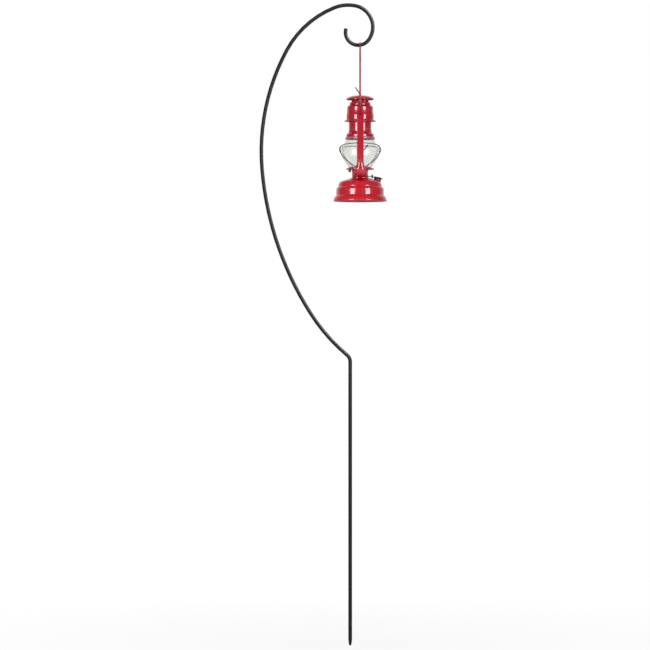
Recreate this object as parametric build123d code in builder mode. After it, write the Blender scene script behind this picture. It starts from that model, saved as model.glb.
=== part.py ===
from build123d import *
import math
import os

# Lantern holder: a garden hook bent from one round bar, with a hurricane lantern hanging
# in its curl. Millimetres, +Z up. The origin is where the bar enters the ground, on the
# bar's own axis; the hook's bow leans to -X and the lantern's two side tubes lie at -Y and +Y.

# Pole: one bent round bar
rod_diameter = 9.525
rod_radius = rod_diameter / 2
stake_depth = 254.0
stake_height = 719.0
tip_length = 15.0
tip_nose_radius = 1.4
tip_nose_angle = 74.0
neck_bend_radius = 22.0
neck_bend_angle = 49.9
bow_radius = 540.7
# each stretch of the bow: its turn in degrees, and its radius as a share of bow_radius
bow_shares = [(17.4, 0.857), (27.9, 1.486), (32.8, 1.0), (39.8, 0.44), (32.6, 0.175)]
crown_radius = 55.1
crown_angle = 115.9
curl_radius = 32.4
curl_angle = 160.8
rod_end_chamfer = 0.8

# Where the bail rests in the curl
hang_share = 0.27
hang_clearance = 0.3
bail_wire = 3.0
bail_radius = bail_wire / 2
bail_rise = 166.5
bail_hook_radius = 3.2
bail_hook_length = 9.5
bail_side_play = 4.5

# Sheet metal, gaps and cuts shared by the lantern's pieces
sheet = 0.8
seat_gap = 0.1
running_gap = 0.3
overrun = 2.0
press_corner = 0.9

# Tank, by radius and height above the lantern's base
tank_hem_width = 4.6
tank_rim_height = 2.2
tank_skirt_height = 15.5
tank_wall_radius = 60.4
tank_skirt_spread = 7.6
tank_rim_radius = tank_wall_radius + tank_skirt_spread
tank_wall_rise = 15.0
tank_wall_top = tank_skirt_height + tank_wall_rise
tank_step_width = 4.8
tank_dome_radius = tank_wall_radius - tank_step_width
tank_step_rise = 6.5
tank_dome_foot = tank_wall_top + tank_step_rise
tank_dome_width = 15.6
tank_shoulder_radius = tank_dome_radius - tank_dome_width
tank_dome_rise = 16.7
tank_shoulder_height = tank_dome_foot + tank_dome_rise
tank_crown_rise = 4.8
tank_top_height = tank_shoulder_height + tank_crown_rise
tank_crown_width = 14.0
tank_top_radius = tank_shoulder_radius - tank_crown_width
tank_mouth_radius = 14.0
tank_dish_height = 4.6
tank_dish_inset = 4.4
tank_dish_radius = tank_wall_radius - tank_dish_inset

# Filler on the sloping shoulder
filler_inset = 3.5
filler_offset = tank_shoulder_radius + filler_inset
filler_drop = 1.3
filler_height = tank_shoulder_height - filler_drop
filler_tilt_angle = 12.0
filler_neck_radius = 9.0
filler_neck_wall = 1.4
filler_bore_radius = filler_neck_radius - filler_neck_wall
filler_neck_rise = 4.2
filler_neck_drop = 4.0
filler_cap_lap = 3.0
filler_cap_radius = filler_neck_radius + filler_cap_lap
filler_cap_thickness = 2.6
filler_cap_grip_count = 20
filler_grip_radius = 0.8
filler_plug_length = 3.6
cap_taper_angle = 30.0
gasket_thickness = 1.2

# Air box and burner
air_box_radius = 20.6
air_box_flange = 4.0
air_box_foot_radius = air_box_radius + air_box_flange
air_box_rise = 21.5
air_box_top = tank_top_height + air_box_rise
air_box_lip = 3.0
burner_inset = 1.0
burner_radius = tank_mouth_radius - burner_inset
burner_rise = 15.5
burner_top = tank_top_height + burner_rise
burner_flange = 3.0
burner_flange_radius = tank_mouth_radius + burner_flange
burner_thread_depth = 9.0
wick_width = 15.0
wick_thickness = 2.6
wick_tube_rise = 18.5
wick_tube_top = burner_top + wick_tube_rise
wick_show = 2.0
wick_top = wick_tube_top + wick_show
wick_bottom = 14.0
wick_tube_drop = 12.5
wick_tube_bottom = tank_top_height - wick_tube_drop
wick_tube_sheet = 0.7
cone_skirt_rise = 11.0
cone_skirt_top = burner_top + cone_skirt_rise
cone_rise = 15.0
cone_top = cone_skirt_top + cone_rise
cone_slot_width = 5.0
cone_slot_length = 17.0
cone_corner = 3.0
cone_shoulder_share = 0.6
cone_crown_share = 0.2
shaft_rise = 5.0
shaft_height = tank_top_height + shaft_rise
shaft_radius = 1.0
shaft_fit = 0.1
shaft_seat = 0.05
wheel_radius = 4.0
wheel_width = 2.6
wheel_tooth_count = 12
wheel_spacing = 8.0
wheel_tooth_depth = 0.8
knob_radius = 4.3
knob_width = 4.0
knob_reach = 4.2
knob_offset = air_box_foot_radius + knob_reach
knob_grip_count = 12
knob_grip_radius = 0.5

# Globe, its plate and the lift lever
plate_height = air_box_top + running_gap
plate_radius = 35.5
plate_bore_radius = 14.0
plate_rim_rise = 2.6
plate_gallery_rise = 4.8
gallery_cut_count = 4
gallery_cut_width = 9.0
plate_hole_count = 24
plate_hole_radius = 1.5
plate_hole_rings_share = [0.51, 0.66]
plate_knob_inset = 9.2
plate_knob_offset = plate_radius - plate_knob_inset
plate_knob_radius = 3.4
plate_knob_length = 6.4
plate_knob_round_share = 0.4
globe_wall = 2.0
globe_foot_inset = 6.5
globe_foot_radius = plate_radius - globe_foot_inset
globe_foot_corner = 3.0
globe_belly_radius = 48.8
globe_belly_rise = 37.7
globe_belly_height = plate_height + globe_belly_rise
globe_belly_flat = 13.5
globe_belly_corner = 17.0
globe_top_radius = 35.4
globe_shoulder_rise = 42.7
globe_top_height = globe_belly_height + globe_shoulder_rise
lever_wire = 2.5
lever_radius = lever_wire / 2
lever_offset = 4.0
lever_axle_drop = 2.45
lever_axle_height = plate_height - lever_axle_drop
lever_finger_length = 16.0
lever_finger_rise = 0.9
lever_finger_inset = 5.5
lever_finger_place = plate_radius - lever_finger_inset
lever_bracket_reach = 4.5
lever_bracket_place = plate_radius + lever_bracket_reach
lever_arm_rise = 15.7
lever_arm_foot = plate_height + lever_arm_rise
lever_arm_length = 23.6
lever_arm_top = lever_arm_foot + lever_arm_length
lever_axle_reach = 6.5
lever_axle_end = lever_bracket_place + lever_axle_reach
lever_tip_offset = 17.2
lever_tip_rise = 17.8
lever_tip_height = lever_arm_top + lever_tip_rise
lever_pad_radius = 3.0
lever_pad_thickness = 1.6
lever_bracket_width = 7.0
lever_bracket_sheet = 1.5

# Side tubes, left at -Y and right at +Y
tube_place = 66.0
lever_arm_inset = 13.4
lever_arm_place = tube_place - lever_arm_inset
tube_half_width = 8.1
tube_half_depth = 7.5
tube_flare_rise = 13.7
tube_flare_height = plate_height + tube_flare_rise
tube_crown_rise = 50.8
tube_crown_height = globe_top_height + tube_crown_rise
tube_crown_radius = 14.0
scoop_centre_rise = 11.5
scoop_centre = tank_top_height + scoop_centre_rise
# sections of the lower scoop, as shares: place along Y of tube_place, height of the way from
# the tank's top to the flare, direction in degrees from straight out, and half width and half
# depth of the straight tube's
scoop_shares = [
    (0.265, 0.267, -6.0, 1.70, 1.02),
    (0.53, 0.206, -6.0, 2.05, 1.06),
    (0.80, 0.269, 30.0, 2.20, 1.14),
    (0.955, 0.592, 66.0, 1.62, 1.10),
]

# Canopy, the fixed upper chamber
canopy_wall_radius = 34.5
canopy_flange_width = 5.5
canopy_flange_radius = canopy_wall_radius + canopy_flange_width
canopy_foot_drop = 9.5
canopy_foot = tube_crown_height - canopy_foot_drop
canopy_flange_height = 2.4
canopy_wall_rise = 5.5
canopy_wall_height = tube_crown_height + canopy_wall_rise
canopy_step = 1.5
canopy_upper_radius = canopy_wall_radius - canopy_step
tube_lap = 4.0
tube_inner_place = canopy_wall_radius - tube_lap
canopy_upper_rise = 13.0
canopy_upper_height = canopy_wall_height + canopy_upper_rise
canopy_shoulder_drop = 4.6
canopy_dome_rise = 13.2
canopy_top = canopy_upper_height + canopy_dome_rise

# Hood: chimney, bell, pan, rain cap and lifting ring
chimney_radius = 28.6
chimney_play = 0.6
canopy_bore_radius = chimney_radius + chimney_play
chimney_foot_rise = 11.3
chimney_foot = globe_top_height + chimney_foot_rise
chimney_shoulder_rise = 8.0
chimney_shoulder = canopy_foot + chimney_shoulder_rise
flue_radius = 22.0
flue_play = 1.0
canopy_mouth_radius = flue_radius + flue_play
flue_rise = 21.7
flue_top = canopy_top + flue_rise
flue_vent_rise = 8.3
flue_vent_foot = canopy_top + flue_vent_rise
flue_vent_height = 7.0
flue_vent_width = 7.4
flue_vent_count = 10
bell_rim_play = 2.0
bell_rim_radius = globe_top_radius + bell_rim_play
bell_lap = 4.4
bell_foot = globe_top_height - bell_lap
bell_rim_rise = 6.0
bell_step_height = bell_foot + bell_rim_rise
bell_step = 2.2
bell_body_radius = bell_rim_radius - bell_step
bell_body_rise = 6.9
bell_body_height = bell_step_height + bell_body_rise
bell_neck_play = 1.0
bell_neck_radius = chimney_radius + bell_neck_play
bell_neck_rise = 6.4
bell_neck_height = bell_body_height + bell_neck_rise
pan_width = 4.8
pan_radius = flue_radius + pan_width
pan_rise = 7.1
pan_top = canopy_top + pan_rise
cap_radius = 35.5
cap_rim_drop = 6.3
cap_rim_height = flue_top - cap_rim_drop
cap_shoulder_height = flue_top
cap_crown_rise = 3.6
cap_top = flue_top + cap_crown_rise
# radii of the rain cap's dome, as shares of cap_radius
cap_shares = [0.76, 0.4, 0.12]
lug_width = 5.6
lug_sheet = 1.2
lug_eye_height = 2.9
lug_eye_radius = 1.2
ring_radius = 10.6
ring_wire_radius = 0.9
ring_lean_angle = 35.0

# Bail ears on the tube crowns
ear_inset = 10.0
ear_place = tube_place - ear_inset
bail_half_span = ear_place + bail_side_play
ear_sheet = 1.2
ear_rise = 24.5
ear_height = tube_crown_height + ear_rise
ear_eye_radius = 4.4
ear_foot_half_width = 9.6
ear_foot_drop = 3.0
ear_window_half_width = 7.4

# Globe guard wires
guard_wire = 2.0
guard_radius = guard_wire / 2
guard_room = 1.4
guard_reach = globe_belly_radius + guard_room
guard_high_rise = 64.2
guard_high = plate_height + guard_high_rise
guard_low_rise = 2.7
guard_low = plate_height + guard_low_rise
guard_crossing_lift = 2.4
bend_share = 0.42
# places along a guard wire: reach out along X and along Y as shares of guard_reach and
# tube_place, and height as a share of the drop from guard_high to guard_low
guard_shares = [
    (0.12, -0.955, 0.0),
    (0.66, -0.68, 0.02),
    (0.93, -0.33, 0.055),
    (1.0, 0.0, 0.163),
    (0.99, 0.24, 0.29),
    (0.91, 0.42, 0.43),
    (0.68, 0.69, 0.71),
    (0.20, 0.955, 1.0),
]


def save(part, name):
    part.label = name
    export_step(part, f"parts/{name}.step")


os.makedirs("parts", exist_ok=True)

# The pole's centre line, from the spike's shoulder to the blunt end of the curl
shoulder_z = tip_length - stake_depth
with BuildLine(Plane.XZ) as pole_line:
    stake = Line((0, shoulder_z), (0, stake_height - stake_depth))
    bend = JernArc(stake @ 1, stake % 1, neck_bend_radius, neck_bend_angle)
    stretch = bend
    for turn, share in bow_shares:
        stretch = JernArc(stretch @ 1, stretch % 1, bow_radius * share, -turn)
    crown = JernArc(stretch @ 1, stretch % 1, crown_radius, -crown_angle)
    curl = JernArc(crown @ 1, crown % 1, curl_radius, -curl_angle)
pole_path = pole_line.line

with BuildPart() as hook_pole:
    with BuildSketch(Plane.XY.offset(shoulder_z)):
        Circle(rod_radius)
    sweep(path=pole_path)
    with BuildSketch(Plane.XZ):
        with BuildLine():
            nose = JernArc((0, -stake_depth), (1, 0), tip_nose_radius, tip_nose_angle)
            Polyline(nose @ 1, (rod_radius, shoulder_z), (0, shoulder_z), (0, -stake_depth))
        make_face()
    revolve(axis=Axis.Z)
    blunt = hook_pole.faces().sort_by_distance(curl @ 1)[0]
    chamfer(blunt.edges(), rod_end_chamfer)
save(hook_pole.part, "hook_pole")

# The bail's wire lies in the curl, square to the bar
rest_point = curl @ hang_share
rest_run = curl % hang_share
rest_up = Vector(rest_run.Z, 0, -rest_run.X)
if rest_up.Z < 0:
    rest_up = rest_up * -1
wire_top = rest_point + rest_up * (rod_radius + bail_radius + hang_clearance)
lantern_x = wire_top.X
base_z = wire_top.Z - bail_rise - ear_height

profile = Plane(origin=(lantern_x, 0, base_z), x_dir=(1, 0, 0), z_dir=(0, -1, 0))
across = Plane(origin=(lantern_x, 0, base_z), x_dir=(0, 1, 0), z_dir=(1, 0, 0))
level = Plane(origin=(lantern_x, 0, base_z))
upright = Axis((lantern_x, 0, base_z), (0, 0, 1))

leg_turn_height = ear_height + bail_hook_radius
arch_height = ear_height + bail_rise - bail_half_span
hook_end = bail_half_span - bail_hook_radius - bail_hook_length
with BuildPart() as bail:
    with BuildLine(across) as bail_line:
        tail = Line(
            (-hook_end + bail_hook_radius, leg_turn_height + bail_hook_radius),
            (-hook_end + bail_hook_radius, leg_turn_height),
        )
        tail_bend = JernArc(tail @ 1, tail % 1, bail_hook_radius, -90)
        pin = Line(tail_bend @ 1, (-bail_half_span + bail_hook_radius, ear_height))
        leg_bend = JernArc(pin @ 1, pin % 1, bail_hook_radius, -90)
        leg = Line(leg_bend @ 1, (-bail_half_span, arch_height))
        arch = JernArc(leg @ 1, leg % 1, bail_half_span, -180)
        leg_2 = Line(arch @ 1, (bail_half_span, leg_turn_height))
        leg_bend_2 = JernArc(leg_2 @ 1, leg_2 % 1, bail_hook_radius, -90)
        pin_2 = Line(leg_bend_2 @ 1, (hook_end, ear_height))
        tail_bend_2 = JernArc(pin_2 @ 1, pin_2 % 1, bail_hook_radius, -90)
        Line(tail_bend_2 @ 1, (hook_end - bail_hook_radius, leg_turn_height + bail_hook_radius))
    with BuildSketch(Plane(origin=bail_line.line @ 0, z_dir=bail_line.line % 0)):
        Circle(bail_radius)
    sweep(path=bail_line.line)
save(bail.part, "bail")

# Side tubes: a wide scoop out of the air box, a straight run past the globe, and a crown
# elbow into the canopy. The same form, thinner by the sheet, is its bore.
def tube_form(side, inset, extra):
    half_width = tube_half_width - inset
    half_depth = tube_half_depth - inset
    straight_top = tube_crown_height - tube_crown_radius
    flare_plane = Plane(
        origin=(lantern_x, side * tube_place, base_z + tube_flare_height), x_dir=(1, 0, 0)
    )
    scoop_rise = tube_flare_height - tank_top_height
    with BuildPart() as form:
        root_place, root_height, root_turn, root_wide, root_deep = scoop_shares[0]
        out = Vector(0, side * math.cos(math.radians(root_turn)), math.sin(math.radians(root_turn)))
        root = Vector(
            lantern_x,
            side * tube_place * root_place,
            base_z + tank_top_height + scoop_rise * root_height,
        )
        for step_back in (overrun, 0) if extra else (0,):
            with BuildSketch(Plane(origin=root - out * step_back, x_dir=(1, 0, 0), z_dir=out)):
                Ellipse(tube_half_width * root_wide - inset, tube_half_depth * root_deep - inset)
        for place, height, turn, wide, deep in scoop_shares[1:]:
            out = Vector(0, side * math.cos(math.radians(turn)), math.sin(math.radians(turn)))
            here = Vector(
                lantern_x,
                side * tube_place * place,
                base_z + tank_top_height + scoop_rise * height,
            )
            with BuildSketch(Plane(origin=here, x_dir=(1, 0, 0), z_dir=out)):
                Ellipse(tube_half_width * wide - inset, tube_half_depth * deep - inset)
        with BuildSketch(flare_plane):
            Ellipse(half_width, half_depth)
        loft()
        with BuildSketch(flare_plane):
            Ellipse(half_width, half_depth)
        extrude(amount=straight_top - tube_flare_height)
        top_plane = Plane(
            origin=(lantern_x, side * tube_place, base_z + straight_top), x_dir=(1, 0, 0)
        )
        with BuildSketch(top_plane):
            Ellipse(half_width, half_depth)
        elbow_axis = Axis(
            (lantern_x, side * (tube_place - tube_crown_radius), base_z + straight_top),
            (side, 0, 0),
        )
        revolve(axis=elbow_axis, revolution_arc=90)
        crown_plane = Plane(
            origin=(
                lantern_x, side * (tube_place - tube_crown_radius), base_z + tube_crown_height
            ),
            x_dir=(1, 0, 0),
            z_dir=(0, -side, 0),
        )
        with BuildSketch(crown_plane):
            Ellipse(half_width, half_depth)
        extrude(amount=tube_place - tube_crown_radius - tube_inner_place + extra * overrun)
    return form.part


for side, name in ((-1, "left_tube"), (1, "right_tube")):
    with BuildPart() as tube:
        add(tube_form(side, 0, 0))
        add(tube_form(side, sheet, 1), mode=Mode.SUBTRACT)
    save(tube.part, name)


# A piece of pressed sheet: the outline runs with the metal on its left, and is spun round
# the lantern's upright axis.
def spun_sheet(outline, corner, thickness=sheet):
    with BuildPart() as spun:
        with BuildSketch(profile):
            with BuildLine():
                FilletPolyline(*outline, radius=corner)
                offset(amount=thickness, side=Side.LEFT)
            make_face()
        revolve(axis=upright)
    return spun.part


# Tank: a pressed shell on a hemmed rim, its bottom pan standing on the hem
filler = Plane(
    origin=(lantern_x + filler_offset, 0, base_z + filler_height),
    x_dir=(math.cos(math.radians(filler_tilt_angle)), 0, -math.sin(math.radians(filler_tilt_angle))),
    z_dir=(math.sin(math.radians(filler_tilt_angle)), 0, math.cos(math.radians(filler_tilt_angle))),
)
with BuildPart() as tank_shell:
    add(
        spun_sheet(
            [
                (tank_rim_radius - tank_hem_width, 0),
                (tank_rim_radius - sheet, 0),
                (tank_rim_radius, tank_rim_height),
                (tank_rim_radius - 2 * sheet, tank_skirt_height / 2),
                (tank_wall_radius + tank_rim_height, tank_skirt_height - tank_rim_height),
                (tank_wall_radius, tank_skirt_height + sheet),
                (tank_wall_radius, tank_wall_top),
                (tank_wall_radius - tank_rim_height, tank_dome_foot - tank_rim_height),
                (tank_dome_radius, tank_dome_foot),
                (tank_dome_radius - 2 * sheet, (tank_dome_foot + tank_shoulder_height) / 2),
                ((tank_dome_radius + tank_shoulder_radius) / 2, tank_shoulder_height - 3 * sheet),
                (tank_shoulder_radius, tank_shoulder_height),
                (tank_top_radius, tank_top_height),
                (tank_mouth_radius, tank_top_height),
            ],
            press_corner,
        )
    )
    with BuildSketch(filler):
        Circle(filler_neck_radius + seat_gap)
    extrude(amount=filler_neck_radius, both=True, mode=Mode.SUBTRACT)
save(tank_shell.part, "tank_shell")

with BuildPart() as tank_bottom:
    add(
        spun_sheet(
            [
                (0, sheet + tank_dish_height),
                (tank_dish_radius, sheet + tank_dish_height),
                (tank_dish_radius + tank_dish_height, sheet),
                (tank_rim_radius - 2 * sheet - running_gap, sheet),
            ],
            press_corner,
        )
    )
save(tank_bottom.part, "tank_bottom")

# Filler: a short neck through the shoulder, a gasket, and a cap whose plug fills the bore
with BuildPart() as filler_neck:
    with BuildSketch(filler.offset(-filler_neck_drop)):
        Circle(filler_neck_radius)
        Circle(filler_bore_radius, mode=Mode.SUBTRACT)
    extrude(amount=filler_neck_drop + filler_neck_rise)
save(filler_neck.part, "filler_neck")

gasket_foot = filler_neck_rise + seat_gap
with BuildPart() as filler_gasket:
    with BuildSketch(filler.offset(gasket_foot)):
        Circle(filler_neck_radius)
        Circle(filler_bore_radius, mode=Mode.SUBTRACT)
    extrude(amount=gasket_thickness)
save(filler_gasket.part, "filler_gasket")

cap_foot = gasket_foot + gasket_thickness + seat_gap
with BuildPart() as filler_cap:
    with BuildSketch(filler.offset(cap_foot)):
        Circle(filler_cap_radius)
        with PolarLocations(filler_cap_radius, filler_cap_grip_count):
            Circle(filler_grip_radius, mode=Mode.SUBTRACT)
    extrude(amount=filler_cap_thickness)
    with BuildSketch(filler.offset(cap_foot + filler_cap_thickness)):
        Circle(filler_cap_radius - 2 * filler_grip_radius)
    extrude(amount=filler_grip_radius, taper=cap_taper_angle)
    with BuildSketch(filler.offset(cap_foot)):
        Circle(filler_bore_radius - running_gap)
    extrude(amount=-filler_plug_length)
save(filler_cap.part, "filler_cap")

# Air box on the tank's flat top, with a mouth for each scoop and a hole for the wick shaft
left_room = tube_form(-1, -seat_gap, 1)
right_room = tube_form(1, -seat_gap, 1)
shaft_place = wick_thickness / 2 + running_gap + wheel_radius
with BuildPart() as air_box:
    add(
        spun_sheet(
            [
                (air_box_foot_radius, tank_top_height + sheet),
                (air_box_radius, tank_top_height + sheet),
                (air_box_radius, air_box_top),
                (air_box_radius - air_box_lip, air_box_top),
            ],
            press_corner,
        )
    )
    add(left_room, mode=Mode.SUBTRACT)
    add(right_room, mode=Mode.SUBTRACT)
    with BuildSketch(across):
        with Locations((shaft_place, shaft_height)):
            Circle(shaft_radius + running_gap)
    extrude(amount=air_box_foot_radius, mode=Mode.SUBTRACT)
save(air_box.part, "air_box")

# Burner: a threaded cup in the tank's mouth that holds the flat wick tube
wick_bore_width = wick_width + 2 * running_gap
wick_bore_depth = wick_thickness + 2 * running_gap
with BuildPart() as burner_cup:
    with BuildSketch(level.offset(tank_top_height - burner_thread_depth)):
        Circle(tank_mouth_radius - seat_gap)
    extrude(amount=burner_thread_depth)
    with BuildSketch(level.offset(tank_top_height)):
        Circle(burner_flange_radius)
    extrude(amount=sheet)
    with BuildSketch(level.offset(tank_top_height)):
        Circle(burner_radius)
    extrude(amount=burner_top - tank_top_height)
    with BuildSketch(level.offset(tank_top_height - burner_thread_depth)):
        Circle(burner_radius - sheet)
    extrude(amount=burner_top - tank_top_height + burner_thread_depth - sheet, mode=Mode.SUBTRACT)
    with BuildSketch(level.offset(burner_top)):
        Rectangle(
            wick_bore_width + 2 * (wick_tube_sheet + seat_gap),
            wick_bore_depth + 2 * (wick_tube_sheet + seat_gap),
        )
    extrude(amount=-2 * sheet, mode=Mode.SUBTRACT)
    with BuildSketch(across):
        with Locations((shaft_place, shaft_height)):
            Circle(shaft_radius + shaft_fit)
    extrude(amount=burner_radius + overrun, both=True, mode=Mode.SUBTRACT)
save(burner_cup.part, "burner_cup")

with BuildPart() as wick_tube:
    with BuildSketch(level.offset(wick_tube_bottom)):
        Rectangle(wick_bore_width + 2 * wick_tube_sheet, wick_bore_depth + 2 * wick_tube_sheet)
        Rectangle(wick_bore_width, wick_bore_depth, mode=Mode.SUBTRACT)
    extrude(amount=wick_tube_top - wick_tube_bottom)
    window_place = wick_bore_depth / 2
    with BuildSketch(profile.offset(-window_place)):
        with Locations((0, shaft_height)):
            with GridLocations(wheel_spacing, 0, 2, 1):
                Rectangle(wheel_width + 3 * running_gap, 2 * wheel_radius)
    extrude(amount=-2 * wick_tube_sheet, mode=Mode.SUBTRACT)
save(wick_tube.part, "wick_tube")

with BuildPart() as wick:
    with BuildSketch(level.offset(wick_bottom)):
        Rectangle(wick_width, wick_thickness)
    extrude(amount=wick_top - wick_bottom)
save(wick.part, "wick")

with BuildPart() as burner_cone:
    add(
        spun_sheet(
            [
                (burner_radius, burner_top),
                (burner_radius, cone_skirt_top),
                (burner_radius * cone_shoulder_share, cone_top - 2 * sheet),
                (burner_radius * cone_crown_share, cone_top),
                (0, cone_top),
            ],
            cone_corner,
        )
    )
    with BuildSketch(level.offset(cone_top)):
        Rectangle(cone_slot_length, cone_slot_width)
    extrude(amount=-(cone_top - cone_skirt_top) / 2, mode=Mode.SUBTRACT)
save(burner_cone.part, "burner_cone")

# Wick winder: shaft, a pair of toothed wheels on one hub, and a milled knob outside
with BuildPart() as wick_shaft:
    with BuildSketch(across.offset(-wheel_spacing)):
        with Locations((shaft_place, shaft_height)):
            Circle(shaft_radius)
    extrude(amount=wheel_spacing + knob_offset + knob_width)
save(wick_shaft.part, "wick_shaft")

with BuildPart() as spur_wheels:
    for wheel_offset in (-wheel_spacing / 2, wheel_spacing / 2):
        with BuildSketch(across.offset(wheel_offset - wheel_width / 2)):
            with Locations((shaft_place, shaft_height)):
                Circle(wheel_radius)
                with PolarLocations(wheel_radius, wheel_tooth_count):
                    Rectangle(wheel_tooth_depth, wheel_tooth_depth, mode=Mode.SUBTRACT)
        extrude(amount=wheel_width)
    with BuildSketch(across.offset(-wheel_spacing / 2)):
        with Locations((shaft_place, shaft_height)):
            Circle(2 * shaft_radius)
    extrude(amount=wheel_spacing)
    with BuildSketch(across):
        with Locations((shaft_place, shaft_height)):
            Circle(shaft_radius + shaft_seat)
    extrude(amount=wheel_spacing, both=True, mode=Mode.SUBTRACT)
save(spur_wheels.part, "spur_wheels")

with BuildPart() as wick_knob:
    with BuildSketch(across.offset(knob_offset)):
        with Locations((shaft_place, shaft_height)):
            Circle(knob_radius)
            with PolarLocations(knob_radius, knob_grip_count):
                Circle(knob_grip_radius, mode=Mode.SUBTRACT)
            Circle(shaft_radius + shaft_seat, mode=Mode.SUBTRACT)
    extrude(amount=knob_width)
save(wick_knob.part, "wick_knob")

# Globe plate: a pierced pan with a turned-up rim and a gallery of tabs round the globe's foot
plate_top = plate_height + sheet
gallery_bore = globe_foot_radius + running_gap
with BuildPart() as globe_plate:
    add(
        spun_sheet(
            [
                (plate_bore_radius, plate_height + plate_rim_rise),
                (plate_bore_radius, plate_height),
                (plate_radius, plate_height),
                (plate_radius, plate_height + plate_rim_rise),
            ],
            press_corner,
        )
    )
    with BuildSketch(level.offset(plate_top)):
        Circle(gallery_bore + sheet)
        Circle(gallery_bore, mode=Mode.SUBTRACT)
        with PolarLocations(0, gallery_cut_count):
            Rectangle(2 * plate_radius, gallery_cut_width, mode=Mode.SUBTRACT)
    extrude(amount=plate_gallery_rise)
    with BuildSketch(level.offset(plate_top)):
        for ring_share in plate_hole_rings_share:
            with PolarLocations(plate_radius * ring_share, plate_hole_count):
                Circle(plate_hole_radius)
    extrude(amount=-2 * sheet, mode=Mode.SUBTRACT)
save(globe_plate.part, "globe_plate")

with BuildPart() as plate_knob:
    with BuildSketch(level.offset(plate_height - plate_knob_length)):
        with Locations((-plate_knob_offset, 0)):
            Circle(plate_knob_radius)
    extrude(amount=plate_knob_length - sheet)
    fillet(plate_knob.edges().filter_by(GeomType.CIRCLE), plate_knob_radius * plate_knob_round_share)
    with BuildSketch(level.offset(plate_height)):
        with Locations((-plate_knob_offset, 0)):
            Circle(plate_knob_radius / 2)
    extrude(amount=-plate_knob_length / 2)
save(plate_knob.part, "plate_knob")

with BuildPart() as globe:
    add(
        spun_sheet(
            [
                (globe_foot_radius, plate_top + seat_gap),
                (globe_foot_radius, plate_top + plate_gallery_rise),
                (globe_belly_radius, globe_belly_height),
                (globe_belly_radius - globe_wall / 2, globe_belly_height + globe_belly_flat),
                (globe_top_radius + globe_wall, globe_top_height - 4 * globe_wall),
                (globe_top_radius, globe_top_height),
            ],
            [globe_foot_corner, globe_belly_corner, globe_belly_corner, globe_foot_corner],
            globe_wall,
        )
    )
save(globe.part, "globe")

# Lift lever: one bent wire with a finger under the plate, turning in a bracket on the left
# scoop, and a thumb pad beside the tube
with BuildPart() as lift_lever:
    with BuildLine() as lever_line:
        finger_z = base_z + lever_axle_height + lever_finger_rise
        axle_z = base_z + lever_axle_height
        lever_x = lantern_x + lever_offset
        FilletPolyline(
            (lever_x - lever_finger_length, -lever_finger_place, finger_z),
            (lever_x - lever_finger_length / 2, -lever_finger_place, finger_z),
            (lever_x, -lever_finger_place, axle_z),
            (lever_x, -lever_axle_end, axle_z),
            (lever_x, -lever_arm_place, base_z + lever_arm_foot),
            (lever_x, -lever_arm_place, base_z + lever_arm_top),
            (lantern_x + lever_tip_offset, -lever_arm_place, base_z + lever_tip_height),
            radius=lever_wire,
        )
    with BuildSketch(Plane(origin=lever_line.line @ 0, z_dir=lever_line.line % 0)):
        Circle(lever_radius)
    sweep(path=lever_line.line)
    with BuildSketch(profile.offset(lever_arm_place - lever_pad_thickness / 2)):
        with Locations((lever_tip_offset, lever_tip_height)):
            Circle(lever_pad_radius)
    extrude(amount=lever_pad_thickness)
save(lift_lever.part, "lift_lever")

with BuildPart() as lever_bracket:
    bracket_top = plate_height - running_gap
    with BuildSketch(profile.offset(lever_bracket_place - lever_bracket_sheet / 2)):
        with Locations((lever_offset, bracket_top)):
            Rectangle(
                lever_bracket_width, bracket_top - scoop_centre, align=(Align.CENTER, Align.MAX)
            )
        with Locations((lever_offset, lever_axle_height)):
            Circle(lever_radius + seat_gap, mode=Mode.SUBTRACT)
    extrude(amount=lever_bracket_sheet)
    add(left_room, mode=Mode.SUBTRACT)
save(lever_bracket.part, "lever_bracket")

# Canopy: the fixed chamber that joins the two tubes and lets the hood slide in it
with BuildPart() as canopy:
    add(
        spun_sheet(
            [
                (canopy_bore_radius, canopy_foot),
                (canopy_flange_radius, canopy_foot),
                (canopy_flange_radius, canopy_foot + canopy_flange_height),
                (canopy_wall_radius + sheet, canopy_foot + canopy_flange_height + sheet),
                (canopy_wall_radius, canopy_wall_height),
                (canopy_upper_radius, canopy_upper_height),
                (canopy_upper_radius, canopy_top - canopy_shoulder_drop),
                (canopy_upper_radius - canopy_shoulder_drop, canopy_top - sheet),
                (canopy_mouth_radius + canopy_flange_height, canopy_top),
                (canopy_mouth_radius, canopy_top),
            ],
            press_corner,
        )
    )
    add(left_room, mode=Mode.SUBTRACT)
    add(right_room, mode=Mode.SUBTRACT)
save(canopy.part, "canopy")

# Hood: the chimney and its bell, the pan and the rain cap slide up together off the globe
with BuildPart() as chimney:
    add(
        spun_sheet(
            [
                (chimney_radius, chimney_foot),
                (chimney_radius, chimney_shoulder),
                (flue_radius, chimney_shoulder + chimney_radius - flue_radius),
                (flue_radius, flue_top),
            ],
            press_corner,
        )
    )
    for vent in range(flue_vent_count // 2):
        turn = math.radians(360 * (vent + 0.5) / flue_vent_count)
        facing = Plane(
            origin=(lantern_x, 0, base_z),
            x_dir=(-math.sin(turn), math.cos(turn), 0),
            z_dir=(math.cos(turn), math.sin(turn), 0),
        )
        with BuildSketch(facing):
            with Locations((0, flue_vent_foot + flue_vent_height / 2)):
                RectangleRounded(flue_vent_width, flue_vent_height, flue_vent_width / 4)
        extrude(amount=flue_radius + overrun, both=True, mode=Mode.SUBTRACT)
save(chimney.part, "chimney")

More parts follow.
